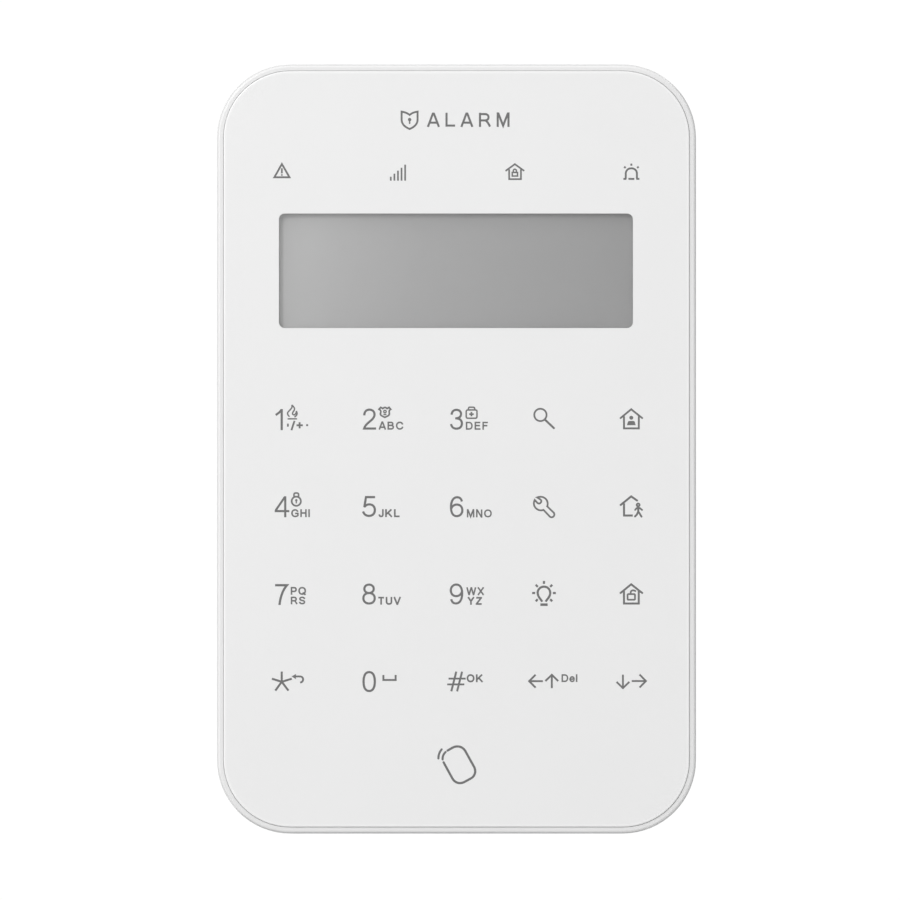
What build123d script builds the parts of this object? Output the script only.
"""Wall-mounted wireless alarm keypad: touch keys behind a printed front panel, a
display, a tag reader and four cells, hooked on a mounting plate.

Frame: +Z up, the wall is the plane Y = 0 and the keypad stands out of it towards -Y,
so the front panel faces -Y. The origin is the centre of the mounting plate's wall face.
Depths are written t, the distance out from the wall, so y = -t. Millimetres.
"""

import math
import os

from build123d import *

os.makedirs("parts", exist_ok=True)

# ---------------------------------------------------------------- driving dimensions
WIDTH, HEIGHT, CORNER = 105.0, 168.6, 16.1  # outline of plate and rear housing
DEPTH = 23.5  # wall to the face of the front panel
PLATE_FLOOR, PLATE_RIM, PLATE_WALL = 2.2, 7.0, 1.8
RELIEF = 0.6  # recesses in the plate's wall face
GAP = 0.03  # between the plate's rim and the keypad, which bears on it
HOUSING_BACK = PLATE_RIM + GAP
GUIDE_T, GUIDE_Z, GUIDE_W = 5.8, (-64.0, 58.0), 1.2  # side ribs of the rear housing
GUIDE_CLEAR = 0.35  # each side, inside the plate's side walls
BACK_WALL = 1.8
PARTING = 9.6  # rear housing band ends, front housing begins
STEP_IN = 0.25  # the front housing is this much smaller all round
WALL = 2.0  # front housing side wall
RIM_FRONT = 23.2  # front housing's rim
LEDGE = (20.4, 21.8)  # shelf that the front panel is taped to
TAPE = 0.1
POCKET_INSET, PANEL_INSET = 1.36, 1.44  # seam of 0.08 between them
WINDOW_W, WINDOW_H, WINDOW_R = 77.6, 25.1, 1.3
WINDOW_X, WINDOW_Z = -0.13, 39.07
KEY_PITCH = 19.2
KEY_X = [-2 * KEY_PITCH, -KEY_PITCH, 0.0, KEY_PITCH, 2 * KEY_PITCH]
KEY_Z = [6.6 - KEY_PITCH * i for i in range(4)]
STATUS_X, STATUS_Z = [-38.3, -12.8, 12.8, 38.3], 60.7
CELL_R, CELL_LEN, CELL_PITCH, CELL_T = 7.15, 50.2, 15.2, 10.3
CELL_Z = [-12.8 - CELL_PITCH * i for i in range(4)]
BAY_X, BAY_Z0, BAY_Z1 = 28.2, -66.4, -4.8
BAY_FLOOR, BAY_RIM, BAY_WALL = (17.75, 18.75), 3.4, 1.2
HOOK_X, HOOK_Z = 43.0, [44.0, -34.0]
HOOK_W, HOOK_STEM, HOOK_LIP, UNHOOK = 8.0, 4.0, 4.6, 8.0
CASE_SCREW = [(x, z) for x in (-43.0, 43.0) for z in (-77.0, 77.0)]
WALL_HOLE_X, WALL_HOLE_Z, WALL_HOLE_R = 38.0, 60.0, 2.2
SLOT_X, SLOT_Z, SLOT_LEN = 30.0, 22.0, 9.0
TAMPER_X, TAMPER_Z, TAMPER_R = 37.0, -14.0, 2.0
TAMPER_OUT, TAMPER_IN = 1.6, 0.8
LOCK_T, LOCK_R = 4.6, 1.2
SWITCH_X, SWITCH_Z, SWITCH_TRAVEL = -24.0, 56.0, 2.0
TOUCH_T = (19.6, 20.6)
BOARD_W, BOARD_Z, BOARD_R = 89.6, (-78.6, 17.6), 13.6
MAIN_T = (14.6, 16.2)


# ---------------------------------------------------------------- helpers
def prism(sketch, t0, t1, x=0.0, z=0.0):
    """A sketch in the X-Z plane, made solid from depth t0 to depth t1."""
    return extrude(Plane.XZ.offset(t0) * (Pos(x, z) * sketch), t1 - t0)


def rr(w, h, r, t0, t1, x=0.0, z=0.0):
    return prism(RectangleRounded(w, h, r), t0, t1, x, z)


def box(x0, x1, t0, t1, z0, z1):
    return Pos((x0 + x1) / 2, -(t0 + t1) / 2, (z0 + z1) / 2) * Box(
        x1 - x0, t1 - t0, z1 - z0
    )


def rod(r, t0, t1, x, z):
    return prism(Circle(r), t0, t1, x, z)


def rod_z(r, z0, z1, x, t):
    return Pos(x, -t, (z0 + z1) / 2) * Cylinder(r, z1 - z0)


def rod_x(r, x0, x1, t, z):
    return Pos((x0 + x1) / 2, -t, z) * Rot(0, 90, 0) * Cylinder(r, x1 - x0)


def outline(inset, t0, t1):
    return rr(WIDTH - 2 * inset, HEIGHT - 2 * inset, CORNER - inset, t0, t1)


def board_outline(grow=0.0):
    """The touch board: round lower corners that follow the case, small upper ones."""
    w, r0, r1 = BOARD_W + 2 * grow, BOARD_R + grow, 3.0 + grow
    z0, z1 = BOARD_Z[0] - grow, BOARD_Z[1] + grow
    lower = Pos(0, (z0 + z1) / 2) * RectangleRounded(w, z1 - z0, r0)
    upper = Pos(0, (z1 - 60 + z1) / 2) * RectangleRounded(w, 60, r1)
    return lower + upper


def edges_at(part, t, tol=1e-3):
    """Edges that lie in the plane of depth t."""
    found = []
    for e in part.edges():
        b = e.bounding_box()
        if abs(b.min.Y + t) < tol and abs(b.max.Y + t) < tol:
            found.append(e)
    return found


def outer_edges_at(part, t, inset, tol=0.02):
    """Edges in the plane of depth t that follow the outline with this inset."""
    hx, hz, r = WIDTH / 2 - inset, HEIGHT / 2 - inset, CORNER - inset
    found = []
    for e in edges_at(part, t):
        ok = True
        for u in (0.1, 0.5, 0.9):
            p = e @ u
            dx, dz = max(abs(p.X) - (hx - r), 0), max(abs(p.Z) - (hz - r), 0)
            if abs(math.hypot(dx, dz) - r) > tol:
                ok = False
        if ok:
            found.append(e)
    return found


def coil(r, pitch, turns, wire, place, taper=0.0):
    """A wire coil about local Z from 0 up, placed by a Location."""
    path = Helix(pitch, pitch * turns, r, cone_angle=taper)
    start = path @ 0
    section = Plane(origin=start, z_dir=path % 0) * Circle(wire / 2)
    return place * sweep(section, path, is_frenet=True)


def save(name, *solids):
    flat = []
    for s in solids:
        flat += list(s.solids())
    export_step(Compound(children=flat) if len(flat) > 1 else flat[0], f"parts/{name}.step")
    print(name, len(flat), round(sum(s.volume for s in flat), 1))


# ---------------------------------------------------------------- mounting plate
plate = outline(0, 0, PLATE_RIM)
plate = fillet(outer_edges_at(plate, 0, 0), 1.0)
plate -= outline(PLATE_WALL, PLATE_FLOOR, PLATE_RIM + 1)
plate = chamfer(outer_edges_at(plate, PLATE_RIM, 0), 0.25)
# boss that the lock screw passes through
plate += box(-6, 6, PLATE_FLOOR, PLATE_RIM - 0.02, -HEIGHT / 2 + PLATE_WALL - 0.5, -79.5)
for x in (-WALL_HOLE_X, WALL_HOLE_X):
    for z in (-WALL_HOLE_Z, WALL_HOLE_Z):
        plate += rod(5.2, PLATE_FLOOR - 0.1, PLATE_FLOOR + 0.7, x, z)
        plate -= rod(WALL_HOLE_R, -1, 4, x, z)
for x in (-SLOT_X, SLOT_X):
    plate += prism(SlotOverall(SLOT_LEN + 6, 10.4), PLATE_FLOOR - 0.1, PLATE_FLOOR + 0.7, x, SLOT_Z)
    plate -= prism(SlotOverall(SLOT_LEN, 2 * WALL_HOLE_R), -1, 4, x, SLOT_Z)
for x in (-HOOK_X, HOOK_X):
    for z in HOOK_Z:
        lip0 = HOUSING_BACK + BACK_WALL + 0.15
        hook = box(x - HOOK_W / 2, x + HOOK_W / 2, PLATE_FLOOR - 0.1, lip0 + 1.6, z - HOOK_STEM, z)
        hook += box(x - HOOK_W / 2, x + HOOK_W / 2, lip0, lip0 + 1.6, z - 0.1, z + HOOK_LIP)
        plate += hook
        # two webs that stiffen each hook below its stem
        for wx in (x - HOOK_W / 2 + 0.6, x + HOOK_W / 2 - 0.6):
            plate += box(wx - 0.6, wx + 0.6, PLATE_FLOOR - 0.1, 5.6, z - HOOK_STEM - 2.4, z - HOOK_STEM + 0.1)
        # the opening in the floor that the lip is moulded through
        plate -= box(x - HOOK_W / 2, x + HOOK_W / 2, -1, PLATE_FLOOR + 0.1, z + 0.2, z + HOOK_LIP + 0.6)
# long slot for the wall tamper plunger, as long as the unhooking travel
tamper_slot = SlotOverall(UNHOOK + 6.6, 6.2, rotation=90)
plate -= prism(tamper_slot, -1, PLATE_FLOOR + 1, TAMPER_X, TAMPER_Z + UNHOOK / 2)
# stiffening ribs on the floor, clear of the cell bay's travel
for z in (74.0, 66.0, 32.0):
    plate += box(-24, 24, PLATE_FLOOR - 0.1, PLATE_FLOOR + 0.8, z - 0.6, z + 0.6)
for x in (-16.0, 16.0):
    plate += box(x - 0.6, x + 0.6, PLATE_FLOOR - 0.1, PLATE_FLOOR + 0.8, 14.0, 78.0)
# raised arrow that points up, on the floor
arrow = Polygon((-5, 0), (5, 0), (0, 7), align=None)
plate += prism(arrow, PLATE_FLOOR - 0.1, PLATE_FLOOR + 0.5, 0, 50)
# shallow recesses in the wall face: the rim, the pads round the screw holes and the
# middle band bear on the wall
for zc, h in ((52.0, 44.0), (-48.0, 52.0)):
    plate -= rr(54.0, h, 4.0, -1, RELIEF, 0, zc)
for x in (-HOOK_X, HOOK_X):
    plate -= rr(9.0, 24.0, 2.0, -1, RELIEF, x, 24.0)
# crossed ribs stand in the recesses, level with the rim
for zc, h in ((52.0, 44.0), (-48.0, 52.0)):
    for x in (-9.0, 9.0):
        plate += box(x - 0.7, x + 0.7, 0, RELIEF + 0.1, zc - h / 2 - 0.1, zc + h / 2 + 0.1)
    for z in (zc - 7.0, zc + 7.0):
        plate += box(-27.1, 27.1, 0, RELIEF + 0.1, z - 0.7, z + 0.7)
# centre lines for a spirit level, cut in the wall face's edge
for z in (-HEIGHT / 2 + 6, HEIGHT / 2 - 6):
    plate -= box(-0.4, 0.4, -1, 0.4, z - 3, z + 3)
for x in (-WIDTH / 2 + 6, WIDTH / 2 - 6):
    plate -= box(x - 3, x + 3, -1, 0.4, -0.4, 0.4)
# lock screw: counterbore in the bottom edge, clearance hole through the boss
plate -= rod_z(2.35, -HEIGHT / 2 - 1, -HEIGHT / 2 + 2.3, 0, LOCK_T)
plate -= rod_z(1.45, -HEIGHT / 2 - 1, -78, 0, LOCK_T)
# sounder slots in the bottom edge
for i in range(5):
    x = -27.0 + 2.8 * i
    plate -= Pos(x, -4.5, -HEIGHT / 2) * Box(1.2, 3.0, 6.0)
save("rear_mounting_plate", plate)

lock = rod_z(2.2, -HEIGHT / 2 + 0.35, -HEIGHT / 2 + 2.2, 0, LOCK_T)
lock = chamfer(lock.edges().sort_by(Axis.Z)[0], 0.35)
lock += rod_z(LOCK_R, -HEIGHT / 2 + 2.1, -73.6, 0, LOCK_T)
for a, b in ((2.6, 0.55), (0.55, 2.6)):
    lock -= Pos(0, -LOCK_T, -HEIGHT / 2 + 0.35) * Box(a, b, 2.0)
save("lock_screw", lock)

# ---------------------------------------------------------------- rear housing
rear = outline(0, HOUSING_BACK, PARTING)
rear = fillet(outer_edges_at(rear, HOUSING_BACK, 0), 0.35)
rear -= outline(STEP_IN + WALL, HOUSING_BACK + BACK_WALL, PARTING + 1)
tongue = outline(STEP_IN + WALL + 0.12, HOUSING_BACK + BACK_WALL - 0.1, 12.0) - outline(
    STEP_IN + WALL + 1.5, HOUSING_BACK, 13.0
)
rear += tongue
# side ribs that steer the keypad between the plate's side walls as it is lifted, and
# close the view through the seam
guide = WIDTH / 2 - PLATE_WALL - GUIDE_CLEAR - GUIDE_W / 2
for x in (-guide, guide):
    rear += box(x - GUIDE_W / 2, x + GUIDE_W / 2, GUIDE_T, HOUSING_BACK + 0.1, *GUIDE_Z)
# cell bay: a tub open to the wall side
bx, bz0, bz1 = BAY_X + BAY_WALL, BAY_Z0 - BAY_WALL, BAY_Z1 + BAY_WALL
rear += box(-bx, bx, BAY_RIM, BAY_FLOOR[1], bz0, bz1)
rear -= box(-BAY_X, BAY_X, BAY_RIM - 1, BAY_FLOOR[0], BAY_Z0, BAY_Z1)
for i in range(3):
    zc = (CELL_Z[i] + CELL_Z[i + 1]) / 2
    rear += box(-22, 22, 15.6, BAY_FLOOR[0] + 0.1, zc - 0.9, zc + 0.9)
# lock lug
rear += box(-4.2, 4.2, 2.5, HOUSING_BACK + 0.1, -79.3, -71.5)
rear -= rod_z(LOCK_R + 0.1, -80, -72.6, 0, LOCK_T)
# slots for the plate's hooks
for x in (-HOOK_X, HOOK_X):
    for z in HOOK_Z:
        rear -= box(x - HOOK_W / 2 - 0.4, x + HOOK_W / 2 + 0.4, 6, 9.3, z + 0.05 - HOOK_STEM - UNHOOK - 0.6, z + 0.05)
# case screw bosses and head recesses
for x, z in CASE_SCREW:
    rear += rod(2.8, HOUSING_BACK + 0.3, 12.0, x, z)
    rear -= rod(2.5, 6, 9.2, x, z)
    rear -= rod(1.4, 6, 13, x, z)
# wall tamper guide
rear += rod(3.6, HOUSING_BACK + 0.3, 10.0, TAMPER_X, TAMPER_Z)
rear -= rod(TAMPER_R + 0.08, 6, 11, TAMPER_X, TAMPER_Z)
# finger recess and window over the power switch
rear -= rr(12.0, 7.0, 2.0, 6, HOUSING_BACK + 0.9, SWITCH_X, SWITCH_Z)
rear -= rr(7.2, 3.2, 0.8, 6, 10, SWITCH_X - SWITCH_TRAVEL / 2, SWITCH_Z)
# sounder holes
for dx, dz in [(0, 0), (3, 0), (-3, 0), (0, 3), (0, -3)]:
    rear -= rod(0.7, 6, 10, -38.5 + dx, -52 + dz)
save("rear_housing", rear)

# ---------------------------------------------------------------- front housing
front = outline(STEP_IN, PARTING + 0.05, RIM_FRONT)
front = fillet(outer_edges_at(front, RIM_FRONT, STEP_IN), 0.48)
front = chamfer(outer_edges_at(front, PARTING + 0.05, STEP_IN), 0.2)
front -= outline(POCKET_INSET, LEDGE[1], RIM_FRONT + 1)
front -= outline(STEP_IN + WALL, PARTING - 1, LEDGE[0])
# openings in the shelf: display, touch board, four indicators
front -= rr(83.0, 34.6, 1.5, 19, 23, 0, 38.0)
front -= box(-9.6, 9.6, 19, 23, 19.7, 21.5)  # for the display's flexible tail
front -= prism(board_outline(0.4), 19, 23)
for x in STATUS_X:
    front -= rod(2.2, 19, 23, x, STATUS_Z)
for x, z in CASE_SCREW:
    front += rod(3.0, 12.05, LEDGE[0] + 0.2, x, z)
    front -= rod(1.0, 11, 19.5, x, z)
# posts for the main board
POSTS = [(-43.0, 66.0), (43.0, 66.0), (-43.6, 20.5), (43.6, 20.5)]
for x, z in POSTS:
    front += rod(2.0, MAIN_T[1], LEDGE[0] + 0.2, x, z)
    front -= rod(0.85, MAIN_T[1] - 1, 20.0, x, z)
save("front_housing", front)

# ---------------------------------------------------------------- front panel
panel = outline(PANEL_INSET, LEDGE[1] + TAPE, DEPTH)
panel = fillet(outer_edges_at(panel, DEPTH, PANEL_INSET), 0.3)
panel -= rr(WINDOW_W, WINDOW_H, WINDOW_R, 20, 25, WINDOW_X, WINDOW_Z)
save("front_panel", panel)

tape = outline(PANEL_INSET + 0.4, LEDGE[1], LEDGE[1] + TAPE) - outline(5.4, 21, 22.5)
save("panel_adhesive_tape", tape)

window = rr(WINDOW_W - 0.16, WINDOW_H - 0.16, WINDOW_R - 0.08, 22.35, DEPTH - 0.06, WINDOW_X, WINDOW_Z)
save("display_window", window)

# ---------------------------------------------------------------- display
LCD_F = 21.6
gasket = rr(80.6, 28.6, 1.0, LCD_F, LEDGE[1] + TAPE, WINDOW_X, WINDOW_Z) - rr(
    WINDOW_W + 0.6, WINDOW_H + 0.6, 1.2, 21, 22.5, WINDOW_X, WINDOW_Z
)
save("display_gasket", gasket)
glass = box(-40.3, 40.3, 20.85, LCD_F, WINDOW_Z - 14.3, WINDOW_Z + 14.3)
glass += box(-40.3, 40.3, 20.1, 20.85, WINDOW_Z - 17.4, WINDOW_Z + 14.3)
save("lcd_glass", glass)
save("lcd_driver_chip", box(-9, 9, 20.85, 21.35, WINDOW_Z - 16.6, WINDOW_Z - 15.0))
tray = box(-41.2, 41.2, 17.2, 20.1, 21.3, 54.6) - box(-39.6, 39.6, 18.0, 21, 22.9, 53.0)
save("backlight_tray", tray)
save("backlight_diffuser", box(-39.5, 39.5, 18.0, 20.0, 23.0, 52.9))



def strip(points, width, x0, thick):
    """A thin strip of constant thickness along points (t, z), width wide along X."""
    off = []
    n = len(points)
    for i, (t, z) in enumerate(points):
        a = points[max(i - 1, 0)]
        b = points[min(i + 1, n - 1)]
        if 0 < i < n - 1:
            d1 = (t - a[0], z - a[1])
            d2 = (b[0] - t, b[1] - z)
            l1, l2 = math.hypot(*d1), math.hypot(*d2)
            n1 = (-d1[1] / l1, d1[0] / l1)
            n2 = (-d2[1] / l2, d2[0] / l2)
            m = (n1[0] + n2[0], n1[1] + n2[1])
            k = 1 + n1[0] * n2[0] + n1[1] * n2[1]
            off.append((t + thick * m[0] / k, z + thick * m[1] / k))
        else:
            d = (b[0] - a[0], b[1] - a[1])
            ln = math.hypot(*d)
            off.append((t - thick * d[1] / ln, z + thick * d[0] / ln))
    loop = points + off[::-1]
    face = Plane.YZ.offset(x0) * Polygon(*[(-t, z) for t, z in loop], align=None)
    return extrude(face, width, dir=(1, 0, 0))


def arc(cx, cz, r, a0, a1, n=6):
    return [
        (
            cx + r * math.cos(math.radians(a0 + (a1 - a0) * i / n)),
            cz + r * math.sin(math.radians(a0 + (a1 - a0) * i / n)),
        )
        for i in range(n + 1)
    ]


# flexible tail: off the glass ledge, round the tray and back to the main board
lcd_tail = [(20.87, 22.2), (20.87, 21.2)] + arc(20.07, 21.0, 0.8, 0, -90)[1:] + [(17.5, 20.2)] + arc(17.5, 21.0, 0.8, -90, -180)[1:] + [(16.7, 24.0)]
save("lcd_flex_cable", strip(lcd_tail, 18.0, -9.0, 0.18))

# ---------------------------------------------------------------- touch keys
touch = prism(board_outline(), *TOUCH_T)
save("touch_board", touch)
guide = prism(board_outline(-0.2), 20.72, 21.72)
leds, pads = [], []
for x in KEY_X:
    for z in KEY_Z:
        guide -= box(x - 1.3, x + 1.3, 20, 22, z + 9.6 - 0.8, z + 9.6 + 0.8)
        leds.append(box(x - 0.8, x + 0.8, TOUCH_T[1], TOUCH_T[1] + 0.6, z + 9.2, z + 10.0))
        w = 11.6 if abs(x) > 30 else 13.0
        pads.append(rr(w, 13.0, 2.0, TOUCH_T[1], TOUCH_T[1] + 0.06, x * (1 if abs(x) < 30 else 0.985), z))
save("key_light_guide", guide)
save("key_leds", *leds)
save("touch_electrodes", *pads)
turns = []
for i in range(4):
    w, h = 52 - 2.0 * i, 17.0 - 2.0 * i
    turns.append(rr(w, h, 3.0, TOUCH_T[1], TOUCH_T[1] + 0.06, 0, -68.4) - rr(w - 1.0, h - 1.0, 2.5, 20, 21, 0, -68.4))
save("card_reader_coil", *turns)
save("touch_controller_chip", box(-4, 4, TOUCH_T[0] - 0.8, TOUCH_T[0], 4, 12))

# ---------------------------------------------------------------- main board
main = rr(91.0, 58.4, 2.0, *MAIN_T, 0, 42.8)
for x, z in POSTS:
    main -= rod(1.2, 14, 17, x, z)
save("main_board", main)
save("processor_chip", chamfer((rr(12, 12, 0.6, MAIN_T[0] - 1.5, MAIN_T[0], -2, 42)).faces().sort_by(Axis.Y)[-1].edges(), 0.25))
save("radio_board", box(15, 35, MAIN_T[0] - 0.9, MAIN_T[0], 36, 54))
can = rr(17, 14, 1.0, MAIN_T[0] - 3.1, MAIN_T[0] - 0.9, 25, 45) - rr(16.4, 13.4, 0.8, MAIN_T[0] - 2.9, MAIN_T[0], 25, 45)
save("radio_shield_can", can)
ant = coil(2.2, 1.7, 9, 0.7, Pos(12.0, -(MAIN_T[0] - 2.9), 64.0) * Rot(0, 90, 0))
ant += rod(0.35, MAIN_T[0] - 2.9, MAIN_T[0], 12.0, 64.0 - 2.2)
save("radio_antenna", ant)
save("crystal", rr(5.0, 3.2, 0.8, MAIN_T[0] - 1.0, MAIN_T[0], -14, 36))
caps = [
    rod(3.1, MAIN_T[0] - 5.2, MAIN_T[0], -24.5, 34),
    rod(3.1, MAIN_T[0] - 5.2, MAIN_T[0], -32.0, 34),
    rod(2.5, MAIN_T[0] - 4.6, MAIN_T[0], 6.5, 26),
]
save("capacitors", *caps)
sw = box(SWITCH_X - 5.6, SWITCH_X + 4.4, 11.2, MAIN_T[0], SWITCH_Z - 2.2, SWITCH_Z + 2.2)
sw -= box(SWITCH_X - 2.2 - SWITCH_TRAVEL, SWITCH_X + 2.2, 11.0, 12.6, SWITCH_Z - 1.0, SWITCH_Z + 1.0)
save("power_switch_body", sw)
knob = box(SWITCH_X - 1.9, SWITCH_X + 1.9, 11.35, 12.5, SWITCH_Z - 0.85, SWITCH_Z + 0.85)
knob += box(SWITCH_X - 1.1, SWITCH_X + 1.1, 7.7, 11.4, SWITCH_Z - 0.85, SWITCH_Z + 0.85)
for dx in (-0.6, 0.0, 0.6):
    knob -= box(SWITCH_X + dx - 0.12, SWITCH_X + dx + 0.12, 7.5, 7.9, SWITCH_Z - 1, SWITCH_Z + 1)
save("power_switch_slider", knob)
save("status_leds", *[box(x - 1, x + 1, MAIN_T[1], MAIN_T[1] + 0.8, STATUS_Z - 0.65, STATUS_Z + 0.65) for x in STATUS_X])
pipes = []
for x in STATUS_X:
    p = rod(2.0, 17.2, LEDGE[1] + 0.05, x, STATUS_Z) + rod(2.7, 19.7, LEDGE[0] - 0.02, x, STATUS_Z)
    pipes.append(p)
save("indicator_light_pipes", *pipes)
# board-to-board link: a connector on each board and a flexible strip
save(
    "flex_connectors",
    box(-20, -8, MAIN_T[1], MAIN_T[1] + 1.0, 15.0, 17.0),
    box(-20, -8, TOUCH_T[0] - 1.0, TOUCH_T[0], 6.0, 8.0),
    box(-10, 10, MAIN_T[1], MAIN_T[1] + 0.4, 24.4, 26.4),
)
link = [(16.75, 14.98), (16.75, 13.0)] + arc(17.25, 13.0, 0.5, 180, 270)[1:] + [(17.9, 12.5)] + arc(17.9, 11.3, 1.2, 90, 0)[1:] + [(19.1, 8.02)]
save("board_flex_cable", strip(link, 11.0, -19.5, 0.18))

# ---------------------------------------------------------------- cells and contacts
cells, springs, plates = [], [], []
for i, z in enumerate(CELL_Z):
    s = 1 if i % 2 == 0 else -1
    x_neg, x_pos = -s * 24.2, s * (CELL_LEN - 24.2)
    body = rod_x(CELL_R, min(x_neg, x_pos - s * 1.2), max(x_neg, x_pos - s * 1.2), CELL_T, z)
    body = fillet(body.edges(), 0.5)
    body += rod_x(2.7, min(x_pos, x_pos - s * 1.6), max(x_pos, x_pos - s * 1.6), CELL_T, z)
    cells.append(body)
    # plate contact at the nub's end
    xp0, xp1 = sorted((x_pos + s * 0.05, s * (BAY_X - 0.02)))
    e0, e1 = sorted((s * (BAY_X - 0.5), s * (BAY_X - 0.02)))
    pc = box(e0, e1, 4.6, 16.4, z - 5.5, z + 5.5) + rod_x(2.2, xp0, xp1, CELL_T, z)
    plates.append(pc)
    # coil contact at the flat end
    w0, w1 = sorted((-s * (BAY_X - 0.5), -s * (BAY_X - 0.02)))
    sp = box(w0, w1, 4.6, 16.4, z - 5.5, z + 5.5)
    length = BAY_X - 0.5 - 24.2 - 0.1
    turns_n = 3.5
    place = Pos(-s * (BAY_X - 0.52), -CELL_T, z) * Rot(0, 90 * s, 0)
    c = coil(3.6, (length - 0.75) / turns_n, turns_n, 0.7, place * Pos(0, 0, 0.35))
    springs += [sp, c]
save("battery_cells", *cells)
save("battery_plate_contacts", *plates)
save("battery_spring_contacts", *springs)

# ---------------------------------------------------------------- sounder
snd = rod(6.6, 14.4, TOUCH_T[0], -38.5, -52) - rod(1.4, 13, 15.4, -38.5, -52) - rod(5.6, 15.2, 18.8, -38.5, -52)
save("sounder", snd)
save("sounder_disc", rod(5.5, 17.0, 17.4, -38.5, -52))

# ---------------------------------------------------------------- wall tamper
pl = rod(TAMPER_R, 0.1, 12.6, TAMPER_X, TAMPER_Z)
pl = fillet(pl.edges().sort_by(Axis.Y)[-1], 0.6)
pl += rod(3.1, 10.0 + TAMPER_OUT + 0.05, 12.6, TAMPER_X, TAMPER_Z)
pl += rod(1.2, 12.5, 16.6, TAMPER_X, TAMPER_Z)
save("tamper_plunger", pl)
tsw = box(TAMPER_X - 4, TAMPER_X + 4, 15.5, TOUCH_T[0], TAMPER_Z - 4, TAMPER_Z + 4)
tsw = chamfer(tsw.edges().filter_by(Axis.Y), 0.6)
tsw -= rod(1.4, 15, 18.2, TAMPER_X, TAMPER_Z)
save("tamper_switch", tsw)
tsp = coil(1.95, (15.5 - 12.6 - 0.5) / 4, 4, 0.35, Pos(TAMPER_X, -12.6 - 0.24, TAMPER_Z) * Rot(90, 0, 0))
save("tamper_spring", tsp)

# ---------------------------------------------------------------- screws
case = []
for x, z in CASE_SCREW:
    s = rod(2.2, 7.7, 9.15, x, z)
    s = chamfer(s.edges().sort_by(Axis.Y)[-1], 0.3)
    s += rod(0.98, 9.1, 18.6, x, z)
    for a, b in ((2.4, 0.5), (0.5, 2.4)):
        s -= prism(Rectangle(a, b), 7, 8.6, x, z)
    case.append(s)
save("case_screws", *case)
small = []
for x, z in POSTS:
    s = rod(1.75, MAIN_T[0] - 1.2, MAIN_T[0] - 0.02, x, z)
    s = chamfer(s.edges().sort_by(Axis.Y)[-1], 0.3)
    s += rod(0.83, MAIN_T[0] - 0.1, 19.4, x, z)
    for a, b in ((1.9, 0.4), (0.4, 1.9)):
        s -= prism(Rectangle(a, b), 13, 14.0, x, z)
    small.append(s)
save("board_screws", *small)
